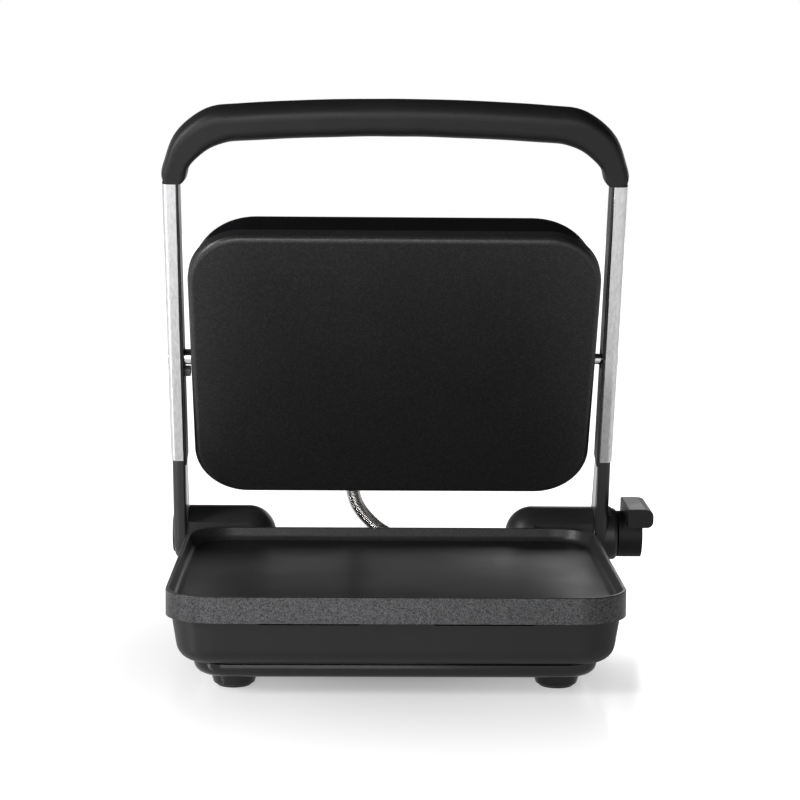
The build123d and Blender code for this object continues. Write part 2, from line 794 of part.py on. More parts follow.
def knuckle(boss_radius_out, boss_height, boss_round, flare, bore_end):
    """The moulded knee of an arm round the hinge, with a boss on its outer side."""
    with BuildPart() as body:
        with BuildSketch(arm_side.offset(knuckle_inner_x)):
            Circle(knuckle_radius)
            with Locations((trim_bottom - knuckle_neck / 2, 0)):
                Rectangle(knuckle_neck, trim_width)
            make_hull()
        extrude(amount=knuckle_outer_x - knuckle_inner_x)
        fillet(body.faces().sort_by(Axis.X)[-1].edges().sort_by(arm_axis)[:-1], knuckle_round)
        fillet(body.faces().sort_by(Axis.X)[0].edges().sort_by(arm_axis)[:-1], knuckle_inner_round)
        with BuildSketch(arm_side.offset(knuckle_outer_x - knuckle_round)):
            Circle(boss_radius_out)
        extrude(amount=knuckle_round + boss_height)
        fillet(body.faces().sort_by(Axis.X)[-1].edges(), boss_round)
        if flare:
            flare_x = knuckle_outer_x + flare
            flare_top = boss_radius_out + flare
            with BuildSketch(handle_front):
                with BuildLine():
                    CenterArc((flare_x, flare_top), flare, 180, 90)
                    Polyline(
                        (flare_x, boss_radius_out),
                        (flare_x, 0),
                        (knuckle_outer_x - flare, 0),
                        (knuckle_outer_x - flare, flare_top),
                        (knuckle_outer_x, flare_top),
                    )
                make_face()
            extrude(amount=flare_half_depth, both=True)
        with BuildSketch(arm_side.offset(knuckle_inner_x)):
            Circle(bar_eye_radius + face_fit)
            with Locations((trim_bottom / 2, 0)):
                Rectangle(trim_bottom, bar_width + 2 * face_fit)
        extrude(amount=skin_x - knuckle_inner_x, mode=Mode.SUBTRACT)
        with BuildSketch(arm_side.offset(knuckle_inner_x)):
            with Locations((trim_bottom, 0)):
                Rectangle(2 * (trim_bottom - liner_bottom + seat_gap), liner_width + 2 * seat_gap)
        extrude(amount=trim_lip - knuckle_lip, mode=Mode.SUBTRACT)
        add(
            rod(arm_side.offset(skin_x), bush_radius + seat_gap, bore_end - skin_x),
            mode=Mode.SUBTRACT,
        )
    return body


knuckle_right = knuckle(right_boss_radius, right_boss_height, right_boss_round, boss_flare, right_bush_end)
write(knuckle_right, "knuckle_right")

left_form = knuckle(left_boss_radius, left_boss_height, left_boss_round, 0, left_bush_end)
with BuildPart() as knuckle_left:
    mirror(left_form.part, about=Plane.YZ)
write(knuckle_left, "knuckle_left")

with BuildPart() as hinge_bush_right:
    add(
        tube(
            hinge_side.offset(bar_inner_x),
            bush_radius,
            shaft_radius + running_fit,
            right_bush_end - bar_inner_x,
        )
    )
write(hinge_bush_right, "hinge_bush_right")

with BuildPart() as hinge_bush_left:
    add(
        tube(
            hinge_side.offset(-left_bush_end),
            bush_radius,
            shaft_radius + running_fit,
            left_bush_end - bar_inner_x,
        )
    )
write(hinge_bush_left, "hinge_bush_left")

# Handle: a steel core bent between the arms, and the grip moulded over it
core_outer_half = skin_x + core_thickness
core_outer = handle_outline(core_outer_half, core_radius, core_top, core_foot)
core_inner = handle_outline(
    skin_x, core_radius - core_thickness, core_top - core_thickness, core_foot - core_radius
)
pocket_outer = handle_outline(
    core_outer_half + face_fit, core_radius + face_fit, core_top + face_fit, grip_foot
)
pocket_inner = handle_outline(
    skin_x - face_fit,
    core_radius - core_thickness - face_fit,
    core_top - core_thickness - face_fit,
    grip_foot - core_radius,
)

with BuildPart() as handle_core:
    with BuildSketch(handle_front):
        add(core_outer)
        add(core_inner, mode=Mode.SUBTRACT)
    extrude(amount=core_width / 2, both=True)
write(handle_core, "handle_core")

with BuildPart() as bar_socket:
    with BuildSketch(arm_side.offset(bar_inner_x - face_fit)):
        with Locations(((grip_foot + bar_top + face_fit) / 2, 0)):
            Rectangle(bar_top + face_fit - grip_foot, bar_width + 2 * face_fit)
    extrude(amount=bar_thickness + 2 * face_fit)


def arch_height(half, radius, top, across):
    """The height of a handle edge over a place across the handle, on its arch or on its corner."""
    corner_x = half - radius
    arch_radius = corner_x / sin(radians(grip_arch)) + radius
    arch_centre = top - arch_radius
    return arch_centre + sqrt(arch_radius**2 - across**2)


def corner_reach(half, radius, top, turn):
    """How far a handle edge is from the grip's turning point, along a ray at an angle."""
    corner_x = half - radius
    corner_y = arch_height(half, radius, top, corner_x) - radius * cos(radians(grip_arch))
    ahead = (corner_x - grip_turn_x) * cos(turn) + (corner_y - grip_foot) * sin(turn)
    aside = (corner_x - grip_turn_x) * sin(turn) - (corner_y - grip_foot) * cos(turn)
    return ahead + sqrt(radius**2 - aside**2)


def grip_section(side, turn, across):
    """The plane, width, corner round and bulge of the grip where a ray turns, or across the arch."""
    share = turn / (pi / 2)
    grip_round = grip_foot_round + (grip_top_round - grip_foot_round) * share
    grip_bulge = grip_foot_bulge + (grip_top_bulge - grip_foot_bulge) * share
    if across is None:
        near = corner_reach(grip_inner_half, grip_inner_radius, grip_inner_top, turn)
        far = corner_reach(grip_outer_half, grip_outer_radius, grip_outer_top, turn)
        middle = (near + far) / 2
        place = (side * (grip_turn_x + middle * cos(turn)), grip_foot + middle * sin(turn), 0)
        heading = (side * cos(turn), sin(turn), 0)
    else:
        near = arch_height(grip_inner_half, grip_inner_radius, grip_inner_top, across)
        far = arch_height(grip_outer_half, grip_outer_radius, grip_outer_top, across)
        place = (side * across, (near + far) / 2, 0)
        heading = (0, 1, 0)
    flow = Vector(*heading).cross(Vector(0, 0, 1))
    drawn = Plane(
        origin=handle_front.from_local_coords(place),
        x_dir=handle_front.from_local_coords(heading) - handle_front.origin,
        z_dir=handle_front.from_local_coords(flow) - handle_front.origin,
    )
    return drawn, far - near, grip_round, grip_bulge


grip_turns = [pi / 2 * step / grip_corner_steps for step in range(grip_corner_steps + 1)]
grip_stations = [(1, turn, None) for turn in grip_turns]
grip_stations += [(1, pi / 2, grip_turn_x * share) for share in grip_shares]
grip_stations.append((1, pi / 2, 0))
grip_stations += [(-1, pi / 2, grip_turn_x * share) for share in reversed(grip_shares)]
grip_stations += [(-1, turn, None) for turn in reversed(grip_turns)]
with BuildPart() as handle_grip:
    for side, turn, across in grip_stations:
        section_plane, section_width, section_round, section_bulge = grip_section(side, turn, across)
        edge = section_width / 2 - section_bulge
        with BuildSketch(section_plane) as section:
            with BuildLine():
                ThreePointArc((edge, -grip_depth / 2), (section_width / 2, 0), (edge, grip_depth / 2))
                Line((edge, grip_depth / 2), (-edge, grip_depth / 2))
                ThreePointArc((-edge, grip_depth / 2), (-section_width / 2, 0), (-edge, -grip_depth / 2))
                Line((-edge, -grip_depth / 2), (edge, -grip_depth / 2))
            make_face()
            fillet(section.vertices(), section_round)
    loft()
    with BuildSketch(handle_front):
        add(pocket_outer)
        add(pocket_inner, mode=Mode.SUBTRACT)
    extrude(amount=core_width / 2 + face_fit, both=True, mode=Mode.SUBTRACT)
    add(bar_socket.part, mode=Mode.SUBTRACT)
    mirror(bar_socket.part, about=Plane.YZ, mode=Mode.SUBTRACT)
write(handle_grip, "handle_grip")

# Upper plate, hung between the arms on two pins
face_axis = Axis(platen.origin, platen.z_dir)
platen_turned = Plane(origin=platen.origin, x_dir=-platen.x_dir, z_dir=platen.z_dir)
with BuildPart() as upper_plate:
    with BuildSketch(platen.offset(plate_back)):
        RectangleRounded(plate_width, plate_depth, plate_corner)
    extrude(amount=plate_thickness)
    fillet(upper_plate.faces().sort_by(face_axis)[-1].edges(), plate_round)
    with BuildSketch(platen.offset(plate_back)):
        RectangleRounded(plate_width - 2 * plate_rim, plate_depth - 2 * plate_rim, plate_corner - plate_rim)
    extrude(amount=pocket_floor - plate_back, mode=Mode.SUBTRACT)
    with BuildSketch(platen.offset(upper_shield_top)):
        with Locations(*plate_screw_places):
            Circle(boss_radius)
    extrude(amount=upper_shield_gap)
    with BuildSketch(platen.offset(upper_shield_top)):
        with Locations(*plate_screw_places):
            Circle(screw_radius + screw_fit)
    extrude(amount=screw_bite + screw_fit, mode=Mode.SUBTRACT)
write(upper_plate, "upper_plate")

upper_heating_element = heater(platen_turned.offset(pocket_floor - heater_radius - seat_gap))
write(upper_heating_element, "upper_heating_element")

with BuildPart() as upper_thermostat:
    add(rod(platen.offset(pocket_floor - thermostat_height - seat_gap), thermostat_radius, thermostat_height))
write(upper_thermostat, "upper_thermostat")

upper_heat_shield = heat_shield(platen.offset(upper_shield_bottom), upper_shield_width, upper_shield_depth)
write(upper_heat_shield, "upper_heat_shield")

upper_screws = screws(
    platen.offset(upper_shield_bottom), plate_screw_places, shield_thickness + screw_bite
)
write(upper_screws, "upper_screws")


def housing_form(inset, back, edge_round):
    """The form behind the upper plate, drawn in by inset at its sides, with a rounded back edge."""
    with BuildPart() as form:
        with BuildSketch(platen.offset(back)):
            RectangleRounded(
                plate_width - 2 * inset, plate_depth - 2 * inset, housing_corner + housing_inset - inset
            )
        extrude(amount=plate_back - back)
        fillet(form.faces().sort_by(face_axis)[0].edges(), edge_round)
    return form.part


pivot_bush_radius = pin_radius + running_fit + pivot_bush_wall
gland_bore = conduit_radius + conduit_fit
upper_gland_radius = gland_bore + upper_gland_wall
upper_gland_plane = Plane(
    origin=platen.from_local_coords((upper_gland_x, -housing_half_depth, -upper_gland_depth)),
    x_dir=platen.x_dir,
    z_dir=-platen.y_dir,
)
with BuildPart() as upper_housing:
    add(housing_form(housing_inset, housing_back, housing_round))
    add(
        housing_form(housing_inset + housing_wall, housing_back + housing_wall, housing_round - housing_wall),
        mode=Mode.SUBTRACT,
    )
    add(
        rod(pivot_side.offset(-plate_half_width), pivot_bush_radius + seat_gap, plate_width),
        mode=Mode.SUBTRACT,
    )
    add(
        rod(upper_gland_plane.offset(-2 * housing_wall), upper_gland_radius + seat_gap, 3 * housing_wall),
        mode=Mode.SUBTRACT,
    )
write(upper_housing, "upper_housing")

with BuildPart() as pivot_bracket:
    bracket_outer_x = bracket_x + bracket_thickness
    with BuildSketch(platen.offset(pocket_floor - bracket_thickness)):
        with Locations((bracket_outer_x - bracket_foot / 2, 0)):
            Rectangle(bracket_foot, bracket_width)
    extrude(amount=bracket_thickness)
    with BuildSketch(platen.offset(-bracket_back)):
        with Locations((bracket_x + bracket_thickness / 2, 0)):
            Rectangle(bracket_thickness, bracket_width)
    extrude(amount=bracket_back + pocket_floor)
    add(
        rod(pivot_side.offset(bracket_x / 2), pivot_bush_radius + seat_gap, bracket_x),
        mode=Mode.SUBTRACT,
    )
write_pair(pivot_bracket, "pivot_bracket")

pivot_bush_inner_x = bracket_x - pivot_bush_tail
with BuildPart() as pivot_bush:
    add(
        tube(
            pivot_side.offset(pivot_bush_inner_x),
            pivot_bush_radius,
            pin_radius + running_fit,
            housing_half_width - pivot_bush_inner_x,
        )
    )
write_pair(pivot_bush, "pivot_bush")


def pivot_pin(collar_radius):
    """A pin through an arm, with a head outside the trim and a collar in the gap beside the plate."""
    collar_start = plate_half_width + collar_gap
    with BuildPart() as pin:
        add(rod(pivot_side.offset(pivot_bush_inner_x), pin_radius, trim_outer_x - pivot_bush_inner_x))
        add(
            rod(
                pivot_side.offset(collar_start),
                collar_radius,
                bar_inner_x - seat_gap - collar_start,
            )
        )
        add(rod(pivot_side.offset(trim_outer_x), pin_head_radius, pin_head_height))
        fillet(pin.faces().sort_by(Axis.X)[-1].edges(), pin_head_height / 2)
    return pin


pivot_pin_right = pivot_pin(right_collar_radius)
write(pivot_pin_right, "pivot_pin_right")

left_pin_form = pivot_pin(left_collar_radius)
with BuildPart() as pivot_pin_left:
    mirror(left_pin_form.part, about=Plane.YZ)
write(pivot_pin_left, "pivot_pin_left")

with BuildPart() as tilt_stop:
    with BuildSketch(arm_side.offset(liner_skin - bar_inner_x)):
        with Locations((pivot_reach - stop_below_pivot, 0)):
            RectangleRounded(stop_height, stop_width, stop_round)
    extrude(amount=stop_reach)
    fillet(tilt_stop.faces().sort_by(Axis.X)[-1].edges(), stop_round / 2)
write(tilt_stop, "tilt_stop")

# Height lever on the end of the right shaft
paddle_x = hub_inner_x + paddle_inset
seam_x = paddle_x + paddle_seam
paddle_end_x = paddle_x + paddle_width
paddle_length = paddle_front + paddle_back
paddle_height = paddle_top - paddle_bottom
lever_front = Plane(origin=lever_side.origin, x_dir=(1, 0, 0), z_dir=lever_side.x_dir)
lever_top = Plane(origin=lever_side.origin, x_dir=(1, 0, 0), z_dir=lever_side.y_dir)
with BuildPart() as lever_body:
    with BuildSketch(hinge_side.offset(hub_inner_x)):
        Circle(hub_radius)
    extrude(amount=hub_length)
    fillet(lever_body.faces().sort_by(Axis.X)[-1].edges(), hub_round)
    with BuildSketch(lever_side.offset(-paddle_x)):
        Circle(hub_radius)
        with Locations(((neck_front - paddle_back) / 2, (paddle_top + paddle_bottom) / 2)):
            Rectangle(neck_front + paddle_back, paddle_height)
        make_hull()
        with Locations(((paddle_front - paddle_back) / 2, (paddle_top + paddle_bottom) / 2)):
            Rectangle(paddle_length, paddle_height)
    extrude(amount=-paddle_seam)
    add(
        rod(hinge_side.offset(hub_inner_x), shaft_radius + running_fit, hub_length),
        mode=Mode.SUBTRACT,
    )
    add(
        rod(hinge_side.offset(hub_outer_x - lever_recess), lever_screw_head + recess_fit, lever_recess),
        mode=Mode.SUBTRACT,
    )
write(lever_body, "lever_body")

with BuildPart() as lever_end_cap:
    with BuildSketch(lever_front.offset(-paddle_back)) as cap_section:
        with Locations(((seam_x + paddle_end_x) / 2, (paddle_top + paddle_bottom) / 2)):
            Rectangle(paddle_end_x - seam_x, paddle_height)
        fillet(cap_section.vertices().group_by(Axis.X)[-1], cap_round)
    extrude(amount=paddle_length)
    add(
        rod(hinge_side.offset(paddle_x), hub_radius + face_fit, hub_outer_x + face_fit - paddle_x),
        mode=Mode.SUBTRACT,
    )
write(lever_end_cap, "lever_end_cap")

with BuildPart() as lever_top_plate:
    main_width = paddle_seam - 2 * lever_plate_margin
    inlay_y = (paddle_back - paddle_front) / 2
    inlay_length = paddle_length - 2 * lever_plate_margin
    with BuildSketch(lever_top.offset(paddle_top)):
        with Locations((paddle_x + paddle_seam / 2, inlay_y)):
            Rectangle(main_width, inlay_length)
    extrude(amount=lever_plate_thickness)
write(lever_top_plate, "lever_top_plate")

with BuildPart() as lever_screw:
    add(
        rod(
            hinge_side.offset(right_shaft_end - lever_screw_bite),
            lever_screw_radius,
            lever_screw_bite,
        )
    )
    add(rod(hinge_side.offset(right_shaft_end), lever_screw_head, lever_screw_head_height))
    fillet(lever_screw.faces().sort_by(Axis.X)[-1].edges(), screw_bevel)
write(lever_screw, "lever_screw")

# Conduit: straight runs joined by arcs as large as the runs allow, from the upper housing to the deck
conduit_route = [
    upper_gland_plane.from_local_coords((0, 0, -housing_wall)),
    upper_gland_plane.from_local_coords((0, 0, conduit_lead)),
    Vector(-25.8, deck_back - 8.9, gland_z + 25.7),
    Vector(-4.7, deck_back - 4, gland_z + 3.6),
    Vector(25.2, deck_back - 4.1, gland_z - 4.8),
    Vector(gland_x - conduit_bury, gland_y, gland_z),
    Vector(gland_x + conduit_bury, gland_y, gland_z),
]
conduit_runs = [after - before for before, after in zip(conduit_route, conduit_route[1:])]
conduit_bends = []
for before, after in zip(conduit_runs, conduit_runs[1:]):
    turn = before.get_angle(after)
    conduit_bends.append(bend_share * min(before.length, after.length) / tan(radians(turn / 2)))
print("conduit bend radii:", [round(bend, 1) for bend in conduit_bends])

with BuildLine() as conduit_path:
    FilletPolyline(*conduit_route, radius=conduit_bends)
conduit_wire = conduit_path.wires()[0]
rib_count = round(conduit_wire.length / rib_pitch)
rib_step = conduit_wire.length / rib_count
print("conduit length and ribs:", round(conduit_wire.length, 1), rib_count)


def conduit_ring(travel):
    """A plane square to the conduit, at a distance along it."""
    heading = conduit_wire.tangent_at(travel, position_mode=PositionMode.LENGTH)
    place = conduit_wire.position_at(travel, position_mode=PositionMode.LENGTH)
    return Plane(origin=place, x_dir=Vector(0, 1, 0).cross(heading), z_dir=heading)


with BuildPart() as conduit:
    for rib in range(rib_count):
        for share, radius in rib_profile:
            with BuildSketch(conduit_ring((rib + share) * rib_step)):
                Circle(radius)
    loft(ruled=True)
    with BuildSketch(conduit_ring(0)):
        Circle(conduit_bore)
    sweep(path=conduit_wire, mode=Mode.SUBTRACT)
write(conduit, "conduit")

# Glands: the conduit's two ends, and the opening for a mains lead
with BuildPart() as conduit_gland_lower:
    gland_radius = gland_bore + gland_wall
    with BuildSketch(Plane.YZ.offset(gland_x)):
        with Locations((gland_y, gland_z)):
            Circle(gland_radius)
        with Locations((gland_y, (gland_z + deck_top) / 2)):
            Rectangle(2 * gland_radius, gland_z - deck_top)
    extrude(amount=gland_length)
    for end_face in conduit_gland_lower.faces().sort_by(Axis.X)[:: len(conduit_gland_lower.faces()) - 1]:
        fillet(end_face.edges().sort_by(Axis.Z)[1:], gland_round)
    add(
        rod(Plane(conduit_route[-1], z_dir=(-1, 0, 0)), gland_bore, conduit_route[-1].X - gland_x),
        mode=Mode.SUBTRACT,
    )
write(conduit_gland_lower, "conduit_gland_lower")

with BuildPart() as conduit_gland_upper:
    add(tube(upper_gland_plane, upper_gland_flange, gland_bore, upper_gland_flange_height))
    add(
        tube(
            upper_gland_plane.offset(-housing_wall - upper_gland_tail),
            upper_gland_radius,
            gland_bore,
            housing_wall + upper_gland_tail,
        )
    )
write(conduit_gland_upper, "conduit_gland_upper")

inlet_plane = Plane((inlet_x, deck_back, inlet_z), x_dir=(1, 0, 0), z_dir=(0, 1, 0))
with BuildPart() as cord_inlet:
    add(tube(inlet_plane, inlet_flange_radius, inlet_bore, inlet_flange_height))
    inlet_tail = inlet_length - inlet_flange_height
    add(tube(inlet_plane.offset(-inlet_tail), inlet_body_radius, inlet_bore, inlet_tail))
write(cord_inlet, "cord_inlet")
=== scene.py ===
import json
from math import cos, pi, radians, sin

import bmesh
import bpy
from mathutils import Matrix, Vector


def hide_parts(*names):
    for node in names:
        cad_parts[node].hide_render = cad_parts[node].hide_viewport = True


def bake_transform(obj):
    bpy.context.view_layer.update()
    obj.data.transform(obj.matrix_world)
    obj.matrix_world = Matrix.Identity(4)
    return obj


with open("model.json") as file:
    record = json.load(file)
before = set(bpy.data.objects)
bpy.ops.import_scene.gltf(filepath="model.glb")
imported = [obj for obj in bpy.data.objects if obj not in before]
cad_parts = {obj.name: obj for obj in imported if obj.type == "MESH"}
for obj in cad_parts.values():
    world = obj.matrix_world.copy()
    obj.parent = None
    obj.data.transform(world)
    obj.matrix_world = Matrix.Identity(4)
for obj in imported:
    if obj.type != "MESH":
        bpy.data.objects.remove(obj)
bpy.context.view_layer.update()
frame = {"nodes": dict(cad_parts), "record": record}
nodes = frame["nodes"]
scene = bpy.context.scene

# ---------------------------------------------------------------- camera

LENS = 102.85
SENSOR_WIDTH = 36
NEAREST_SEEN = 0.05
CAMERA_PLACE = (0.00378, -1.78465, 0.43426)
PITCH = radians(7.31)
YAW = radians(1.14)
ROLL = radians(-0.43)

camera = bpy.data.objects.new("camera", bpy.data.cameras.new("camera"))
camera.data.lens = LENS
camera.data.sensor_width = SENSOR_WIDTH
camera.data.clip_start = NEAREST_SEEN
camera.matrix_world = (
    Matrix.Rotation(-YAW, 4, "Z")
    @ Matrix.Translation(CAMERA_PLACE)
    @ Matrix.Rotation(pi / 2 - PITCH, 4, "X")
    @ Matrix.Rotation(-ROLL, 4, "Z")
)
scene.collection.objects.link(camera)
scene.camera = camera

# ---------------------------------------------------------------- material helpers

# Detail of the noise that makes fine grain, and of the noise that makes patches and lines.
FINE_DETAIL = 2.0
COARSE_DETAIL = 3.0
# Most of a noise lies between these two values.
NOISE_LOW = 0.3
NOISE_HIGH = 0.7


def start_material(name, colour, roughness, metallic=0.0):
    """A new principled material, with its node tree, its shader and object coordinates in metres."""
    made = bpy.data.materials.new(name)
    made.use_nodes = True
    tree = made.node_tree
    shader = tree.nodes["Principled BSDF"]
    shader.inputs["Base Color"].default_value = (*colour, 1)
    shader.inputs["Roughness"].default_value = roughness
    shader.inputs["Metallic"].default_value = metallic
    place = tree.nodes.new("ShaderNodeTexCoord").outputs["Object"]
    return made, tree, shader, place


def stretched(tree, place, scale, turn):
    """Coordinates scaled apart along the axes and turned."""
    node = tree.nodes.new("ShaderNodeMapping")
    node.inputs["Scale"].default_value = scale
    node.inputs["Rotation"].default_value = turn
    tree.links.new(place, node.inputs["Vector"])
    return node.outputs["Vector"]


def split_axes(tree, vector):
    """The X, Y and Z of a vector."""
    node = tree.nodes.new("ShaderNodeSeparateXYZ")
    tree.links.new(vector, node.inputs["Vector"])
    return node.outputs["X"], node.outputs["Y"], node.outputs["Z"]


def noise(tree, place, scale, detail):
    node = tree.nodes.new("ShaderNodeTexNoise")
    node.inputs["Scale"].default_value = scale
    node.inputs["Detail"].default_value = detail
    tree.links.new(place, node.inputs["Vector"])
    return node.outputs["Fac"]


def flakes(tree, place, scale):
    """A random grey for each small cell."""
    node = tree.nodes.new("ShaderNodeTexVoronoi")
    node.inputs["Scale"].default_value = scale
    tree.links.new(place, node.inputs["Vector"])
    grey = tree.nodes.new("ShaderNodeSeparateColor")
    tree.links.new(node.outputs["Color"], grey.inputs["Color"])
    return grey.outputs["Red"]


def spread(tree, value, low, high, start=NOISE_LOW, end=NOISE_HIGH):
    """A value carried from the range start to end to the range low to high."""
    node = tree.nodes.new("ShaderNodeMapRange")
    for name, number in (("From Min", start), ("From Max", end), ("To Min", low), ("To Max", high)):
        node.inputs[name].default_value = number
    tree.links.new(value, node.inputs["Value"])
    return node.outputs["Result"]


def between(tree, share, first, second):
    """A colour between two colours."""
    node = tree.nodes.new("ShaderNodeMix")
    node.data_type = "RGBA"
    tree.links.new(share, node.inputs["Factor"])
    for name, colour in (("A", first), ("B", second)):
        socket = next(s for s in node.inputs if s.name == name and s.type == "RGBA")
        if isinstance(colour, tuple):
            socket.default_value = (*colour, 1)
        else:
            tree.links.new(colour, socket)
    return next(s for s in node.outputs if s.type == "RGBA")


def raised(tree, shader, height, distance):
    """A fine texture in the shading, up to a distance in metres."""
    node = tree.nodes.new("ShaderNodeBump")
    node.inputs["Distance"].default_value = distance
    node.inputs["Strength"].default_value = 1.0
    tree.links.new(height, node.inputs["Height"])
    tree.links.new(node.outputs["Normal"], shader.inputs["Normal"])


def both(tree, operation, first, second):
    """Two values joined by an operation."""
    node = tree.nodes.new("ShaderNodeMath")
    node.operation = operation
    tree.links.new(first, node.inputs[0])
    tree.links.new(second, node.inputs[1])
    return node.outputs["Value"]


def feed(tree, shader, name, value):
    tree.links.new(value, shader.inputs[name])


# ---------------------------------------------------------------- materials

PATCH_SCALE = 18.0
LINE_DEPTH = 0.00002
SOFT_SPECULAR = 0.3
ARM_TURN = (radians(-18.5), 0, 0)
NO_TURN = (0, 0, 0)

# Each row: dark colour, light colour, range of roughness, scale of the grain, depth of the grain in metres.
MOULDED_LOOKS = {
    "satin_black_plastic": ((0.018, 0.018, 0.019), (0.022, 0.022, 0.023), (0.38, 0.46), 2600, 0.00003),
    "gloss_black_plastic": ((0.004, 0.004, 0.005), (0.006, 0.006, 0.007), (0.07, 0.11), 60, 0.00002),
    "soft_touch_black": ((0.014, 0.014, 0.014), (0.018, 0.018, 0.018), (0.42, 0.48), 3200, 0.00004),
    "liner_black_plastic": ((0.016, 0.016, 0.017), (0.026, 0.026, 0.027), (0.45, 0.60), 2200, 0.00004),
    "foot_rubber": ((0.010, 0.010, 0.010), (0.018, 0.018, 0.018), (0.70, 0.85), 1800, 0.00006),
    "grey_plastic": ((0.15, 0.148, 0.144), (0.19, 0.188, 0.182), (0.40, 0.52), 2400, 0.00003),
    "terminal_plastic": ((0.62, 0.61, 0.57), (0.72, 0.71, 0.67), (0.40, 0.50), 1500, 0.00003),
    # The knuckles' finish is a lighter, glossier copy of the satin black: its lighter colour is a painted
    # highlight.
    "knuckle_painted_highlight_black": ((0.020, 0.020, 0.021), (0.026, 0.026, 0.027), (0.32, 0.38), 2600, 0.00002),
    # The lever's finish is a darker copy of the black plastic: its darker colour is painted shade.
    "lever_painted_shade_black": ((0.004, 0.004, 0.004), (0.006, 0.006, 0.006), (0.45, 0.55), 2600, 0.00003),
}
SOFT_SHEEN = ("satin_black_plastic", "soft_touch_black", "lever_painted_shade_black")

# Each row: dark colour, light colour, range of roughness, scale of the lines along each axis, turn, depth.
METAL_LOOKS = {
    "polished_chrome": (
        (0.74, 0.74, 0.75), (0.86, 0.86, 0.87), (0.06, 0.12), (260, 260, 6), ARM_TURN, LINE_DEPTH,
    ),
    "plain_steel": (
        (0.46, 0.46, 0.46), (0.62, 0.61, 0.60), (0.26, 0.38), (420, 420, 30), ARM_TURN, LINE_DEPTH,
    ),
    "screw_steel": (
        (0.42, 0.42, 0.43), (0.56, 0.56, 0.57), (0.25, 0.36), (300, 300, 300), NO_TURN, LINE_DEPTH,
    ),
    "bush_brass": (
        (0.55, 0.40, 0.19), (0.70, 0.54, 0.29), (0.22, 0.32), (30, 420, 420), NO_TURN, LINE_DEPTH,
    ),
    "conduit_steel": (
        (0.74, 0.72, 0.69), (0.88, 0.86, 0.83), (0.14, 0.22), (260, 260, 260), NO_TURN, LINE_DEPTH,
    ),
    "trim_chrome": (
        (0.70, 0.70, 0.71), (0.88, 0.88, 0.89), (0.07, 0.13), (500, 500, 4), ARM_TURN, None,
    ),
}


def moulded(name, dark, light, roughness, grain, depth):
    """A moulded surface: patches of slightly different colour and gloss over a fine grain."""
    made, tree, shader, place = start_material(name, light, roughness[0])
    patches = noise(tree, place, PATCH_SCALE, COARSE_DETAIL)
    grains = noise(tree, place, grain, FINE_DETAIL)
    feed(tree, shader, "Base Color", between(tree, spread(tree, patches, 0, 1), dark, light))
    feed(tree, shader, "Roughness", spread(tree, patches, *roughness))
    raised(tree, shader, grains, depth)
    if name in SOFT_SHEEN:
        shader.inputs["Specular IOR Level"].default_value = SOFT_SPECULAR
    return made


def lined_metal(name, dark, light, roughness, scale, turn, depth):
    """Bare metal with fine lines along one direction, or a grain where the scale is even."""
    made, tree, shader, place = start_material(name, light, roughness[0], metallic=1.0)
    lines = noise(tree, stretched(tree, place, scale, turn), 1.0, COARSE_DETAIL)
    feed(tree, shader, "Base Color", between(tree, spread(tree, lines, 0, 1), dark, light))
    feed(tree, shader, "Roughness", spread(tree, lines, *roughness))
    if depth:
        raised(tree, shader, lines, depth)
    return made


COAT_DEPTH = 0.00004

PLATE_BODY = (0.018, 0.018, 0.0185)
PLATE_SPARKLE = (0.080, 0.080, 0.081)
PLATE_ROUGHNESS = (0.36, 0.42)
PLATE_PATCH_SCALE = 14.0
PLATE_CELL_SCALE = 1700
PLATE_GRAIN_SHARE = 0.7
PLATE_FLAKE_START = 0.55
PLATE_FLAKE_METAL = (0.15, 0.75)


def plate_coat():
    """The upper plate: a dark non-stick coating with fine metallic flakes."""
    made, tree, shader, place = start_material("dark_plate", PLATE_BODY, PLATE_ROUGHNESS[0])
    patches = noise(tree, place, PLATE_PATCH_SCALE, COARSE_DETAIL)
    cells = flakes(tree, place, PLATE_CELL_SCALE)
    grains = noise(tree, place, PLATE_CELL_SCALE * PLATE_GRAIN_SHARE, FINE_DETAIL)
    flake = spread(tree, cells, 0, 1, PLATE_FLAKE_START, 1.0)
    feed(tree, shader, "Base Color", between(tree, flake, PLATE_BODY, PLATE_SPARKLE))
    feed(tree, shader, "Metallic", spread(tree, cells, *PLATE_FLAKE_METAL, PLATE_FLAKE_START, 1.0))
    feed(tree, shader, "Roughness", spread(tree, patches, *PLATE_ROUGHNESS))
    raised(tree, shader, grains, COAT_DEPTH)
    return made


TRAY_FLAKE_DARK = (0.021, 0.0215, 0.023)
TRAY_FLAKE_LIGHT = (0.118, 0.118, 0.121)
TRAY_FLAKE_METAL = 0.55
TRAY_FLOOR_DARK = (0.009, 0.009, 0.009)
TRAY_FLOOR_LIGHT = (0.012, 0.0118, 0.0115)
TRAY_START_COLOUR = (0.1, 0.1, 0.1)
TRAY_START_ROUGHNESS = 0.4
TRAY_ROUGHNESS = (0.36, 0.44)
TRAY_SPECULAR = 0.35
TRAY_CELL_SCALE = 1500
TRAY_GRAIN_SCALE = 1800
TRAY_PATCH_SCALE = 12.0
# A face counts as floor as it turns level, and below the rim's height in metres.
LEVEL_FACING = (0.75, 0.97)
RIM_HEIGHT = (0.0675, 0.0725)
# A wall counts as inside where it faces the tray's middle: its normal and its place have opposite signs.
INWARD_FACING = (-0.05, -0.01)
INNER_WALL_SHARE = 0.76


